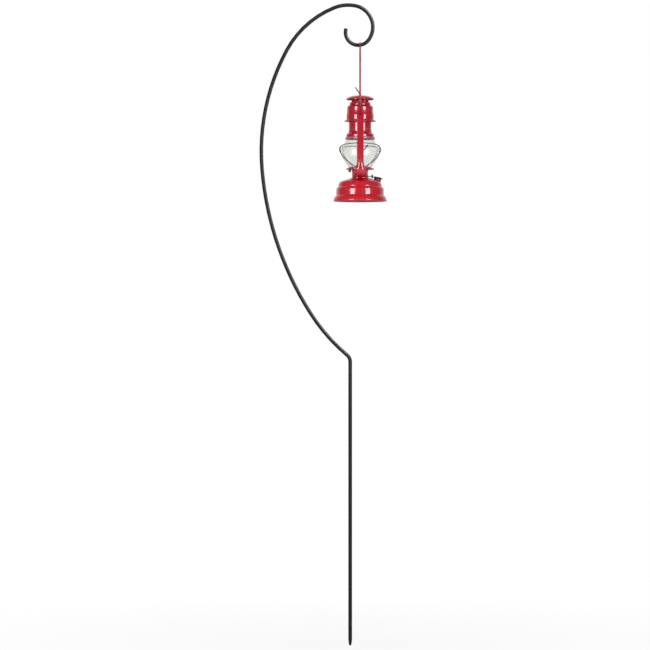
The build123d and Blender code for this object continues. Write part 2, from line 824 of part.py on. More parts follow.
with BuildPart() as bell:
    add(
        spun_sheet(
            [
                (bell_rim_radius, bell_foot),
                (bell_rim_radius, bell_step_height),
                (bell_body_radius, bell_step_height),
                (bell_body_radius, bell_body_height),
                (bell_neck_radius + sheet / 2, bell_neck_height - 2 * sheet),
                (bell_neck_radius, bell_neck_height + 2 * sheet),
            ],
            press_corner,
        )
    )
save(bell.part, "bell")

with BuildPart() as hood_pan:
    add(
        spun_sheet(
            [
                (pan_radius, canopy_top + running_gap),
                (pan_radius - sheet, pan_top),
                (flue_radius + seat_gap, pan_top),
            ],
            press_corner,
        )
    )
save(hood_pan.part, "hood_pan")

with BuildPart() as rain_cap:
    add(
        spun_sheet(
            [
                (cap_radius - sheet, cap_rim_height - 2 * sheet),
                (cap_radius, cap_rim_height),
                (cap_radius - sheet, cap_rim_height + 2 * sheet),
                (cap_radius * cap_shares[0], cap_shoulder_height),
                (cap_radius * cap_shares[1], cap_top - sheet),
                (cap_radius * cap_shares[2], cap_top),
                (0, cap_top),
            ],
            press_corner,
        )
    )
save(rain_cap.part, "rain_cap")

with BuildPart() as hood_lug:
    with BuildSketch(profile):
        with Locations((0, cap_top + lug_eye_height)):
            Circle(lug_width / 2)
        with Locations((0, cap_top)):
            Rectangle(lug_width, lug_eye_height, align=(Align.CENTER, Align.MIN))
        with Locations((0, cap_top + lug_eye_height)):
            Circle(lug_eye_radius, mode=Mode.SUBTRACT)
    extrude(amount=lug_sheet / 2, both=True)
save(hood_lug.part, "hood_lug")

lean = math.radians(ring_lean_angle)
ring_pivot = Vector(lantern_x, 0, base_z + cap_top + lug_eye_height)
ring_centre = ring_pivot + Vector(-math.sin(lean), 0, math.cos(lean)) * ring_radius
with BuildPart() as hood_ring:
    with BuildSketch(Plane(origin=ring_pivot, z_dir=(0, 1, 0))):
        Circle(ring_wire_radius)
    revolve(axis=Axis(ring_centre, (math.cos(lean), 0, math.sin(lean))))
save(hood_ring.part, "hood_ring")

# Bail ears: an open lug astride each tube's crown, its eye taking the end of the bail
for side, name, room in ((-1, "left_ear", left_room), (1, "right_ear", right_room)):
    with BuildPart() as ear:
        with BuildSketch(profile.offset(-side * ear_place - ear_sheet / 2)):
            with Locations((0, ear_height)):
                Circle(ear_eye_radius)
            with Locations((0, tube_crown_height - ear_foot_drop)):
                Rectangle(2 * ear_foot_half_width, ear_sheet, align=(Align.CENTER, Align.MIN))
            make_hull()
            with BuildLine():
                Polyline(
                    (0, ear_height - ear_eye_radius - ear_sheet),
                    (ear_window_half_width, tube_crown_height),
                    (-ear_window_half_width, tube_crown_height),
                    close=True,
                )
            make_face(mode=Mode.SUBTRACT)
            with Locations((0, ear_height)):
                Circle(bail_radius + running_gap, mode=Mode.SUBTRACT)
        extrude(amount=ear_sheet)
        add(room, mode=Mode.SUBTRACT)
    save(ear.part, name)

# Guard wires: on each face of the lantern two wires cross, each from high on one tube to
# low on the other
def bend_radii(points):
    radii = []
    for before, corner, after in zip(points, points[1:], points[2:]):
        run_in = Vector(*corner) - Vector(*before)
        run_out = Vector(*after) - Vector(*corner)
        half_turn = math.radians(run_in.get_angle(run_out) / 2)
        radii.append(bend_share * min(run_in.length, run_out.length) / math.tan(half_turn))
    return radii


for face, face_name in ((-1, "front"), (1, "rear")):
    for side, lift, layer in ((1, 0, "inner"), (-1, guard_crossing_lift, "outer")):
        points = [
            (
                lantern_x + face * (guard_reach + lift) * reach,
                side * tube_place * place,
                base_z + guard_high + (guard_low - guard_high) * drop,
            )
            for reach, place, drop in guard_shares
        ]
        with BuildPart() as guard:
            with BuildLine() as guard_line:
                FilletPolyline(*points, radius=bend_radii(points))
            with BuildSketch(Plane(origin=guard_line.line @ 0, z_dir=guard_line.line % 0)):
                Circle(guard_radius)
            sweep(path=guard_line.line)
            add(left_room, mode=Mode.SUBTRACT)
            add(right_room, mode=Mode.SUBTRACT)
        save(guard.part, f"{face_name}_guard_{layer}")
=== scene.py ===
import math

import bpy
from mathutils import Matrix, Vector


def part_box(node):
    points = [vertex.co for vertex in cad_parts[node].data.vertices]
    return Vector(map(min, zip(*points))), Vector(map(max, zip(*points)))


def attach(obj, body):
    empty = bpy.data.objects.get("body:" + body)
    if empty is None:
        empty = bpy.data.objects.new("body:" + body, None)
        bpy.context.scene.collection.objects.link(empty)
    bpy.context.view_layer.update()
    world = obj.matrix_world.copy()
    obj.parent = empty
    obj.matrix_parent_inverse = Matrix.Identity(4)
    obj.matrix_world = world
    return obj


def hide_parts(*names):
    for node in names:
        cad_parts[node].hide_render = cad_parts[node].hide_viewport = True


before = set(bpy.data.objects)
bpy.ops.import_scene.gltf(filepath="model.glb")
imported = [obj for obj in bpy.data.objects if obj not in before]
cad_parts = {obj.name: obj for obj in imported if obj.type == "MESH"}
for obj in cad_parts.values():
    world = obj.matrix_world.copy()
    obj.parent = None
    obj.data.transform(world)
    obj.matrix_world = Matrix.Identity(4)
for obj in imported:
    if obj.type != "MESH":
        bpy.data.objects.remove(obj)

# Shepherd's hook with a red hurricane lantern in its curl. The dictionaries are in millimetres
# and degrees; lantern heights are above the tank's foot. The studio is in metres, but for its
# sensor and aimHeight.
print("frame loaded:", len(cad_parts), "nodes")
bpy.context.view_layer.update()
mm = 0.001
weldReach = 0.000005  # in metres
tankLow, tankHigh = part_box("tank_shell")
lanternX = (tankLow.x + tankHigh.x) / 2
footZ = tankLow.z


def onLantern(x, y, height):
    return Vector((lanternX + x * mm, y * mm, footZ + height * mm))


def clearSelection():
    if bpy.context.object and bpy.context.object.mode != "OBJECT":
        bpy.ops.object.mode_set(mode="OBJECT")
    bpy.ops.object.select_all(action="DESELECT")


def pickOnly(piece):
    clearSelection()
    bpy.context.view_layer.objects.active = piece
    piece.select_set(True)


def applyModifier(piece, kind, **settings):
    pickOnly(piece)
    modifier = piece.modifiers.new(kind.lower(), kind)
    for setting, value in settings.items():
        setattr(modifier, setting, value)
    bpy.ops.object.modifier_apply(modifier=modifier.name)


def pickByPlace(piece, mode, wanted):
    # piece is in edit mode on return, with only what stands in the wanted place selected
    pickOnly(piece)
    bpy.ops.object.mode_set(mode="EDIT")
    bpy.ops.mesh.select_mode(type=mode)
    bpy.ops.mesh.select_all(action="DESELECT")
    bpy.ops.object.mode_set(mode="OBJECT")
    if mode == "FACE":
        for face in piece.data.polygons:
            face.select = wanted(face.center, face.normal)
    else:
        for point in piece.data.vertices:
            point.select = wanted(point.co)
        for edge in piece.data.edges:
            edge.select = all(piece.data.vertices[v].select for v in edge.vertices)
    bpy.ops.object.mode_set(mode="EDIT")


def mergeAndTurnOut(piece):
    pickOnly(piece)
    bpy.ops.object.mode_set(mode="EDIT")
    bpy.ops.mesh.select_all(action="SELECT")
    bpy.ops.mesh.remove_doubles(threshold=weldReach)
    bpy.ops.mesh.normals_make_consistent(inside=False)
    bpy.ops.object.mode_set(mode="OBJECT")


def mergeClose(piece, reach):
    pickOnly(piece)
    bpy.ops.object.mode_set(mode="EDIT")
    bpy.ops.mesh.select_all(action="SELECT")
    bpy.ops.mesh.remove_doubles(threshold=reach * mm)
    bpy.ops.object.mode_set(mode="OBJECT")


def settle(piece, angle=32):
    # the place goes into the mesh, and the faces shade smooth up to the angle
    pickOnly(piece)
    bpy.ops.object.transform_apply(location=True, rotation=True, scale=True)
    bpy.ops.object.shade_smooth_by_angle(angle=math.radians(angle))


def fitOut(piece, body, material, nodes):
    piece.data.materials.clear()
    piece.data.materials.append(material)
    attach(piece, body)
    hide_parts(*nodes)


# materials
def startMaterial(name):
    material = bpy.data.materials.new(name)
    material.use_nodes = True
    tree = material.node_tree
    shader = tree.nodes["Principled BSDF"]
    place = tree.nodes.new("ShaderNodeTexCoord")
    return material, tree, shader, place


def noiseOn(tree, place, scale, detail=3.0, roughness=0.5, stretch=(1, 1, 1)):
    mapping = tree.nodes.new("ShaderNodeMapping")
    mapping.inputs["Scale"].default_value = stretch
    noise = tree.nodes.new("ShaderNodeTexNoise")
    noise.inputs["Scale"].default_value = scale
    noise.inputs["Detail"].default_value = detail
    noise.inputs["Roughness"].default_value = roughness
    tree.links.new(place.outputs["Object"], mapping.inputs["Vector"])
    tree.links.new(mapping.outputs["Vector"], noise.inputs["Vector"])
    return noise


def rampOn(tree, source, stops):
    ramp = tree.nodes.new("ShaderNodeValToRGB")
    while len(ramp.color_ramp.elements) < len(stops):
        ramp.color_ramp.elements.new(0.5)
    for element, (position, colour) in zip(ramp.color_ramp.elements, stops):
        element.position = position
        element.color = (*colour, 1.0)
    tree.links.new(source, ramp.inputs["Fac"])
    return ramp


def rangeOn(tree, source, low, high, fromLow=0.0, fromHigh=1.0):
    spread = tree.nodes.new("ShaderNodeMapRange")
    spread.inputs["From Min"].default_value = fromLow
    spread.inputs["From Max"].default_value = fromHigh
    spread.inputs["To Min"].default_value = low
    spread.inputs["To Max"].default_value = high
    tree.links.new(source, spread.inputs["Value"])
    return spread


def bumpOn(tree, source, depth, strength):
    bump = tree.nodes.new("ShaderNodeBump")
    bump.inputs["Distance"].default_value = depth
    bump.inputs["Strength"].default_value = strength
    tree.links.new(source, bump.inputs["Height"])
    return bump


def mixColours(tree, factor, first, second):
    mix = tree.nodes.new("ShaderNodeMix")
    mix.data_type = "RGBA"
    tree.links.new(factor, mix.inputs[0])
    for socket, colour in ((mix.inputs[6], first), (mix.inputs[7], second)):
        if isinstance(colour, tuple):
            socket.default_value = (*colour, 1.0)
        else:
            tree.links.new(colour, socket)
    return mix


def enamel(name, deep, bright, roughLow=0.34, roughHigh=0.5, gloss=0.12, coat=1.0):
    # fired enamel: slow change of tone, pooled darker here and there, under a glassy skin
    material, tree, shader, place = startMaterial(name)
    tone = noiseOn(tree, place, 22, 4, 0.55)
    colour = rampOn(tree, tone.outputs["Fac"], [(0.3, deep), (0.72, bright)])
    speck = noiseOn(tree, place, 420, 3, 0.6)
    pore = rampOn(tree, speck.outputs["Fac"], [(0.66, (0, 0, 0)), (0.8, (1, 1, 1))])
    mix = mixColours(tree, pore.outputs["Color"], colour.outputs["Color"], deep)
    wave = noiseOn(tree, place, 60, 2, 0.5)
    bump = bumpOn(tree, wave.outputs["Fac"], 0.00005, 0.25)
    rough = rangeOn(tree, tone.outputs["Fac"], roughLow, roughHigh)
    tree.links.new(mix.outputs[2], shader.inputs["Base Color"])
    tree.links.new(rough.outputs["Result"], shader.inputs["Roughness"])
    tree.links.new(bump.outputs["Normal"], shader.inputs["Normal"])
    shader.inputs["Coat Weight"].default_value = coat
    shader.inputs["Coat Roughness"].default_value = gloss
    shader.inputs["Coat IOR"].default_value = 1.85
    shader.inputs["Specular IOR Level"].default_value = 0.15
    return material


def powderCoat(name):
    # baked black powder: fine grain, rubbed duller in places, dusty towards the spike
    material, tree, shader, place = startMaterial(name)
    rub = noiseOn(tree, place, 14, 5, 0.6, (1, 1, 0.35))
    colour = rampOn(
        tree, rub.outputs["Fac"], [(0.35, (0.004, 0.004, 0.0045)), (0.75, (0.009, 0.009, 0.0095))]
    )
    axes = tree.nodes.new("ShaderNodeSeparateXYZ")
    tree.links.new(place.outputs["Object"], axes.inputs["Vector"])
    spikeTip, wornTop, mostWorn = -0.254, -0.05, 0.55
    low = rangeOn(tree, axes.outputs["Z"], mostWorn, 0.0, spikeTip, wornTop)
    scrape = noiseOn(tree, place, 190, 4, 0.7, (1, 1, 0.16))
    scrapeMask = rampOn(tree, scrape.outputs["Fac"], [(0.56, (0, 0, 0)), (0.7, (1, 1, 1))])
    worn = tree.nodes.new("ShaderNodeMath")
    worn.operation = "MULTIPLY"
    tree.links.new(low.outputs["Result"], worn.inputs[0])
    tree.links.new(scrapeMask.outputs["Color"], worn.inputs[1])
    mix = mixColours(tree, worn.outputs["Value"], colour.outputs["Color"], (0.075, 0.07, 0.066))
    grain = noiseOn(tree, place, 1500, 2, 0.5)
    bump = bumpOn(tree, grain.outputs["Fac"], 0.00003, 0.25)
    rough = rangeOn(tree, rub.outputs["Fac"], 0.44, 0.56)
    tree.links.new(mix.outputs[2], shader.inputs["Base Color"])
    tree.links.new(rough.outputs["Result"], shader.inputs["Roughness"])
    tree.links.new(bump.outputs["Normal"], shader.inputs["Normal"])
    shader.inputs["Specular IOR Level"].default_value = 0.2
    return material


def brassLike(name, deep, bright, roughLow, roughHigh, metal=1.0):
    # drawn brass or steel, brushed round and tarnished in patches
    material, tree, shader, place = startMaterial(name)
    cloud = noiseOn(tree, place, 60, 5, 0.6)
    colour = rampOn(tree, cloud.outputs["Fac"], [(0.32, deep), (0.7, bright)])
    brush = noiseOn(tree, place, 700, 3, 0.6, (1, 1, 0.15))
    bump = bumpOn(tree, brush.outputs["Fac"], 0.00003, 0.35)
    rough = rangeOn(tree, cloud.outputs["Fac"], roughHigh, roughLow)
    tree.links.new(colour.outputs["Color"], shader.inputs["Base Color"])
    tree.links.new(rough.outputs["Result"], shader.inputs["Roughness"])
    tree.links.new(bump.outputs["Normal"], shader.inputs["Normal"])
    shader.inputs["Metallic"].default_value = metal
    return material


def blownGlass(name):
    # clear soda glass with a little green and a slow ripple, with painted shade that greys it
    # where it is seen edge-on
    material, tree, shader, place = startMaterial(name)
    ripple = noiseOn(tree, place, 14, 1, 0.3, (1, 1, 0.4))
    bump = bumpOn(tree, ripple.outputs["Fac"], 0.0003, 0.15)
    # painted shade: the colour turns from clear to grey as the surface turns edge-on to the eye
    edgeShadeWeight = tree.nodes.new("ShaderNodeLayerWeight")
    edgeShadeWeight.inputs["Blend"].default_value = 0.5
    colour = rampOn(
        tree, edgeShadeWeight.outputs["Facing"], [(0.04, (0.96, 0.965, 0.955)), (0.2, (0.83, 0.84, 0.815))]
    )
    tree.links.new(colour.outputs["Color"], shader.inputs["Base Color"])
    tree.links.new(bump.outputs["Normal"], shader.inputs["Normal"])
    shader.inputs["Transmission Weight"].default_value = 1.0
    shader.inputs["Roughness"].default_value = 0.02
    shader.inputs["IOR"].default_value = 1.5
    return material


def wovenCotton(name):
    # flat woven wick: ribs along it, picks across it, charred above the burner's slot
    material, tree, shader, place = startMaterial(name)
    ribs = tree.nodes.new("ShaderNodeTexWave")
    ribs.bands_direction = "X"
    ribs.inputs["Scale"].default_value = 330
    ribs.inputs["Distortion"].default_value = 0.6
    picks = tree.nodes.new("ShaderNodeTexWave")
    picks.bands_direction = "Z"
    picks.inputs["Scale"].default_value = 420
    picks.inputs["Distortion"].default_value = 0.8
    for wave in (ribs, picks):
        tree.links.new(place.outputs["Object"], wave.inputs["Vector"])
    weave = tree.nodes.new("ShaderNodeMath")
    weave.operation = "MULTIPLY"
    tree.links.new(ribs.outputs["Fac"], weave.inputs[0])
    tree.links.new(picks.outputs["Fac"], weave.inputs[1])
    cloth = rampOn(
        tree, weave.outputs["Value"], [(0.0, (0.42, 0.38, 0.3)), (0.8, (0.82, 0.78, 0.68))]
    )
    axes = tree.nodes.new("ShaderNodeSeparateXYZ")
    tree.links.new(place.outputs["Object"], axes.inputs["Vector"])
    charFrom, charTo = footZ + 0.0895, footZ + 0.0935
    char = rangeOn(tree, axes.outputs["Z"], 0.0, 1.0, charFrom, charTo)
    mix = mixColours(tree, char.outputs["Result"], cloth.outputs["Color"], (0.012, 0.01, 0.009))
    bump = bumpOn(tree, weave.outputs["Value"], 0.0003, 0.8)
    tree.links.new(mix.outputs[2], shader.inputs["Base Color"])
    tree.links.new(bump.outputs["Normal"], shader.inputs["Normal"])
    shader.inputs["Roughness"].default_value = 0.92
    shader.inputs["Sheen Weight"].default_value = 0.3
    return material


def mouldedRubber(name):
    material, tree, shader, place = startMaterial(name)
    bloom = noiseOn(tree, place, 120, 4, 0.6)
    colour = rampOn(
        tree, bloom.outputs["Fac"], [(0.35, (0.012, 0.012, 0.012)), (0.7, (0.04, 0.039, 0.037))]
    )
    bump = bumpOn(tree, bloom.outputs["Fac"], 0.00006, 0.5)
    tree.links.new(colour.outputs["Color"], shader.inputs["Base Color"])
    tree.links.new(bump.outputs["Normal"], shader.inputs["Normal"])
    shader.inputs["Roughness"].default_value = 0.75
    return material


redEnamel = enamel("redEnamel", (0.41, 0.001, 0.018), (0.51, 0.0025, 0.027))
# painted light: the tank wears a lighter copy of the red enamel, brighter than the canopy's
litTankEnamel = enamel("litTankEnamel", (0.48, 0.0025, 0.014), (0.60, 0.005, 0.023))
# painted shade: the filler neck wears a darker, duller copy of the red enamel
shadedNeckEnamel = enamel("shadedNeckEnamel", (0.20, 0.003, 0.012), (0.28, 0.006, 0.018), gloss=0.3, coat=0.4)
redWire = enamel("redWire", (0.24, 0.006, 0.018), (0.32, 0.010, 0.024), gloss=0.25, coat=0.4)
guardEnamel = enamel(
    "guardEnamel", (0.05, 0.008, 0.013), (0.09, 0.012, 0.02), gloss=0.25, coat=0.4
)
# painted shade: the filler cap and the plate knob wear a dark maroon copy of the red enamel
shadedMaroonEnamel = enamel("shadedMaroonEnamel", (0.14, 0.008, 0.016), (0.24, 0.014, 0.026))
leverEnamel = enamel("leverEnamel", (0.20, 0.05, 0.06), (0.30, 0.09, 0.10), gloss=0.25, coat=0.5)
# painted shade and painted reflection: the bell's rolled rim is a darkened red, greyed by whitish
# reflection
rimShadeReflectionEnamel = enamel("rimShadeReflectionEnamel", (0.22, 0.10, 0.115), (0.30, 0.15, 0.17), 0.4, 0.6, 0.3, 0.6)
# painted highlight: the band above the bell's rim is a pinkish red
bandHighlightEnamel = enamel("bandHighlightEnamel", (0.46, 0.10, 0.15), (0.54, 0.14, 0.20), 0.4, 0.6, 0.3, 0.6)
blackPowder = powderCoat("blackPowder")
brass = brassLike("burnerBrass", (0.20, 0.13, 0.05), (0.52, 0.38, 0.16), 0.3, 0.5)
darkSteel = brassLike("darkSteel", (0.035, 0.034, 0.030), (0.09, 0.086, 0.075), 0.32, 0.5, 0.8)
globeGlass = blownGlass("globeGlass")
wickCotton = wovenCotton("wickCotton")
sealRubber = mouldedRubber("sealRubber")
print("materials made")


# spun sheet metal
def spinShell(name, outline, segments=96):
    # outline: radius and height pairs of the outer skin, from its first edge to its last
    clearSelection()
    radius, height = outline[0]
    bpy.ops.mesh.primitive_circle_add(
        vertices=segments, radius=radius * mm, location=onLantern(0, 0, height)
    )
    piece = bpy.context.object
    piece.name = name
    bpy.ops.object.mode_set(mode="EDIT")
    bpy.ops.mesh.select_all(action="SELECT")
    for nextRadius, nextHeight in outline[1:]:
        bpy.ops.mesh.extrude_edges_move(
            TRANSFORM_OT_translate={"value": (0, 0, (nextHeight - height) * mm)}
        )
        if nextRadius == 0:
            bpy.ops.mesh.merge(type="CENTER")
            break
        share = nextRadius / radius
        bpy.ops.transform.resize(
            value=(share, share, 1), center_override=onLantern(0, 0, nextHeight)
        )
        radius, height = nextRadius, nextHeight
    bpy.ops.object.mode_set(mode="OBJECT")
    settle(piece)
    mergeAndTurnOut(piece)
    return piece


pressing = {
    "cornerFrom": 6.0, "cornerSteps": 3, "cornerWeld": 0.06,
    "edge": 0.2, "edgeFrom": 60.0, "edgeSteps": 2, "edgeWeld": 0.01,
}


def thicken(piece, wall, corner=0.0):
    if corner:
        applyModifier(
            piece, "BEVEL", width=corner * mm, segments=pressing["cornerSteps"],
            limit_method="ANGLE", angle_limit=math.radians(pressing["cornerFrom"]),
            use_clamp_overlap=True, profile=0.5,
        )
        mergeClose(piece, pressing["cornerWeld"])
    applyModifier(piece, "SOLIDIFY", thickness=wall * mm, offset=-1)
    applyModifier(
        piece, "BEVEL", width=pressing["edge"] * mm, segments=pressing["edgeSteps"],
        limit_method="ANGLE", angle_limit=math.radians(pressing["edgeFrom"]),
        use_clamp_overlap=True,
    )
    mergeClose(piece, pressing["edgeWeld"])
    settle(piece)
    return piece


def rollEdge(name, radius, height, bead):
    # the rolled wire edge that stiffens a rim
    clearSelection()
    bpy.ops.mesh.primitive_torus_add(
        location=onLantern(0, 0, height), major_segments=128, minor_segments=12,
        major_radius=radius * mm, minor_radius=bead * mm,
    )
    piece = bpy.context.object
    piece.name = name
    return piece


def joinPieces(first, *others):
    pickOnly(first)
    for other in others:
        other.select_set(True)
    bpy.ops.object.join()
    settle(first)
    return first


def seamStrip(name, heights, radii, width, depth, azimuth):
    # a folded side seam, laid on a spun wall between two heights
    clearSelection()
    bpy.ops.mesh.primitive_plane_add(size=1, location=(0, 0, 0))
    strip = bpy.context.object
    strip.name = name
    turn = math.radians(azimuth)
    out = Vector((math.cos(turn), math.sin(turn), 0))
    side = Vector((-math.sin(turn), math.cos(turn), 0))
    corners = [(-1, 0), (1, 0), (-1, 1), (1, 1)]
    for point, (across, end) in zip(strip.data.vertices, corners):
        foot = onLantern(0, 0, heights[end]) + out * (radii[end] * mm)
        point.co = foot + side * across * width * mm / 2
    mergeAndTurnOut(strip)
    applyModifier(strip, "SOLIDIFY", thickness=depth * mm, offset=0)
    foldRound = 0.15
    applyModifier(strip, "BEVEL", width=foldRound * mm, segments=2, limit_method="ANGLE")
    return strip


tank = {
    "outline": [
        (63.4, 0.15), (66.9, 0.15), (67.7, 1.0), (67.9, 2.2), (66.4, 7.7), (64.6, 11.0),
        (62.6, 13.3), (60.7, 15.2), (60.4, 16.4), (60.4, 30.4), (59.6, 32.9), (58.2, 34.8),
        (55.7, 36.9), (55.5, 39.0), (54.2, 44.6), (51.8, 48.6), (47.8, 51.2), (40.0, 53.7),
        (33.0, 56.1), (26.6, 58.3), (25.0, 58.5), (14.0, 58.5),
    ],
    "wall": 0.8,
    "hem": (67.0, 0.95, 0.9),
    "seam": ((17.0, 30.0), (60.45, 60.45), 3.4, 0.5, 180),
    "fillerHole": 9.15,
    "fillerTilt": 12.0,
    "fillerCut": 16.0,
    "cutWeld": 0.004,
}
tankPiece = spinShell("tankBody", tank["outline"], 144)
thicken(tankPiece, tank["wall"], corner=1.1)
neckLow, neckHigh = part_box("filler_neck")
clearSelection()
bpy.ops.mesh.primitive_cylinder_add(
    vertices=48, radius=tank["fillerHole"] * mm, depth=tank["fillerCut"] * mm,
    location=(neckLow + neckHigh) / 2, rotation=(0, math.radians(tank["fillerTilt"]), 0),
)
cutter = bpy.context.object
applyModifier(tankPiece, "BOOLEAN", operation="DIFFERENCE", object=cutter, solver="EXACT")
bpy.data.objects.remove(cutter)
mergeClose(tankPiece, tank["cutWeld"])
settle(tankPiece)
tankPiece = joinPieces(
    tankPiece, rollEdge("tankHem", *tank["hem"]), seamStrip("tankSeam", *tank["seam"])
)
fitOut(tankPiece, "lantern", litTankEnamel, ["tank_shell"])
print("tank done")

canopy = {
    "outline": [
        (29.3, 202.1), (39.3, 202.1), (39.9, 202.8), (39.9, 203.9), (38.6, 204.5), (35.4, 205.2),
        (34.6, 206.6), (34.6, 217.6), (34.1, 219.4), (32.6, 229.6), (32.9, 230.6), (32.7, 238.4),
        (31.4, 241.0), (28.4, 242.4), (25.4, 243.1), (23.0, 243.1),
    ],
    "wall": 0.8,
    "beads": [(34.3, 218.4, 0.55), (32.6, 229.9, 0.5)],
}
canopyPiece = thicken(spinShell("canopyBody", canopy["outline"]), canopy["wall"], corner=0.8)
canopyPiece = joinPieces(
    canopyPiece, *[rollEdge("canopyBead", r, h, b) for r, h, b in canopy["beads"]]
)
fitOut(canopyPiece, "lantern", redEnamel, ["canopy"])

chimney = {
    "outline": [
        (28.6, 172.1), (28.6, 209.6), (27.9, 210.9), (22.6, 216.2), (22.0, 217.6), (22.0, 251.5),
        (22.0, 258.5), (22.0, 264.6),
    ],
    "wall": 0.8,
    "ventCount": 9,
    "ventWidth": 18.0,
    "ventFoot": 251.5,
    "ventTop": 258.5,
}
chimneyPiece = spinShell("chimneyTube", chimney["outline"], 72)


def inVent(centre, normal):
    height = (centre.z - footZ) / mm
    pitch = 360 / chimney["ventCount"]
    turn = math.degrees(math.atan2(centre.y, centre.x - lanternX)) % pitch
    level = chimney["ventFoot"] < height < chimney["ventTop"]
    return level and abs(turn - pitch / 4) < chimney["ventWidth"] / 2


pickByPlace(chimneyPiece, "FACE", inVent)
bpy.ops.mesh.delete(type="FACE")
bpy.ops.object.mode_set(mode="OBJECT")
thicken(chimneyPiece, chimney["wall"])
fitOut(chimneyPiece, "hood", redEnamel, ["chimney"])

bell = {
    "outline": [
        (36.7, 156.4), (37.3, 157.0), (37.3, 158.6), (37.3, 161.6), (36.8, 162.2), (35.3, 162.4),
        (35.2, 163.2), (35.2, 168.4), (34.4, 169.8), (31.0, 172.6), (30.0, 174.2), (29.7, 177.1),
    ],
    "wall": 0.8,
    "edgeTop": 158.2,
    "bandTop": 162.3,
}
bellPiece = thicken(spinShell("bellSkirt", bell["outline"]), bell["wall"], corner=0.4)
fitOut(bellPiece, "hood", redEnamel, ["bell"])
bellPiece.data.materials.append(bandHighlightEnamel)
bellPiece.data.materials.append(rimShadeReflectionEnamel)
# the rolled rim gets painted shade with a painted reflection, the band above it a painted
# highlight
for face in bellPiece.data.polygons:
    if face.center.z < footZ + bell["edgeTop"] * mm:
        face.material_index = 2
    elif face.center.z < footZ + bell["bandTop"] * mm:
        face.material_index = 1

hoodPan = {
    "outline": [(26.8, 243.6), (26.7, 245.4), (26.1, 249.4), (25.2, 250.2), (22.2, 250.2)],
    "wall": 0.8,
}
panPiece = thicken(spinShell("hoodPanDish", hoodPan["outline"]), hoodPan["wall"], corner=0.3)
fitOut(panPiece, "hood", redEnamel, ["hood_pan"])

rainCap = {
    "outline": [
        (34.5, 257.3), (35.1, 257.7), (35.35, 258.6), (35.1, 259.6), (33.6, 260.9), (29.6, 263.5),
        (25.0, 265.4), (19.0, 266.9), (12.0, 267.9), (5.0, 268.4), (0, 268.45),
    ],
    "wall": 0.8,
    "bead": (34.6, 258.2, 0.75),
}
capPiece = thicken(spinShell("rainCapDome", rainCap["outline"]), rainCap["wall"], corner=0.3)
capPiece = joinPieces(capPiece, rollEdge("rainCapEdge", *rainCap["bead"]))
fitOut(capPiece, "hood", redEnamel, ["rain_cap"])
print("canopy and hood done")

globe = {
    "outline": [
        (28.9, 81.4), (29.0, 84.4), (30.6, 88.6), (36.8, 98.4), (44.6, 110.2), (47.8, 116.4),
        (48.6, 122.0), (48.3, 128.4), (46.9, 134.2), (42.4, 143.4), (38.4, 151.2), (36.0, 156.0),
        (35.4, 160.6),
    ],
    "wall": 2.0,
    "lip": 0.7,
}
globePiece = spinShell("globeGlassware", globe["outline"], 64)
applyModifier(globePiece, "SUBSURF", levels=1, render_levels=1)
applyModifier(globePiece, "SOLIDIFY", thickness=globe["wall"] * mm, offset=-1)
applyModifier(
    globePiece, "BEVEL", width=globe["lip"] * mm, segments=3, limit_method="ANGLE",
    angle_limit=math.radians(60),
)
settle(globePiece, 50)
fitOut(globePiece, "globe_carrier", globeGlass, ["globe"])
print("globe done")


# bent bar and wire
spinSense = -1  # the spin operator turns against the right-hand rule
bendSteps = {"fewest": 3, "degrees": 6, "arc": 1500}


def bendBar(name, radius, start, heading, turnAxis, moves, points=20, tip=None):
    # moves: ("run", length) or ("bend", radius, degrees), positive degrees turn about turnAxis
    clearSelection()
    here, along, about = Vector(start), Vector(heading).normalized(), Vector(turnAxis)
    size = tip[0][0] if tip else radius
    bpy.ops.mesh.primitive_circle_add(
        vertices=points, radius=size * mm, location=here,
        rotation=Vector((0, 0, 1)).rotation_difference(along).to_euler(),
    )
    bar = bpy.context.object
    bar.name = name
    bpy.ops.object.mode_set(mode="EDIT")
    bpy.ops.mesh.select_all(action="SELECT")
    for wider, step in (tip or [])[1:]:
        here = here + along * (step * mm)
        bpy.ops.mesh.extrude_edges_move(TRANSFORM_OT_translate={"value": along * (step * mm)})
        bpy.ops.transform.resize(value=(wider / size,) * 3, center_override=here)
        size = wider
    for move in moves:
        if move[0] == "run":
            step = along * (move[1] * mm)
            bpy.ops.mesh.extrude_edges_move(TRANSFORM_OT_translate={"value": step})
            here = here + step
            continue
        bendRadius, degrees = move[1:]
        inward = about.cross(along) * (1 if degrees > 0 else -1)
        centre = here + inward * (bendRadius * mm)
        steps = max(
            bendSteps["fewest"], round(abs(degrees) / bendSteps["degrees"]),
            round(abs(degrees) * bendRadius / bendSteps["arc"]),
        )
        bpy.ops.mesh.spin(
            steps=steps, angle=math.radians(degrees) * spinSense, center=centre, axis=about
        )
        turned = Matrix.Rotation(math.radians(degrees), 3, about)
        here = centre + turned @ (here - centre)
        along = turned @ along
    bpy.ops.mesh.select_all(action="SELECT")
    bpy.ops.mesh.remove_doubles(threshold=weldReach)
    bpy.ops.mesh.fill_holes(sides=0)
    bpy.ops.mesh.select_all(action="SELECT")
    bpy.ops.mesh.normals_make_consistent(inside=False)
    bpy.ops.object.mode_set(mode="OBJECT")
    return bar


def softenEnds(bar, width):
    applyModifier(
        bar, "BEVEL", width=width * mm, segments=3, limit_method="ANGLE",
        angle_limit=math.radians(60),
    )
    settle(bar)
    return bar


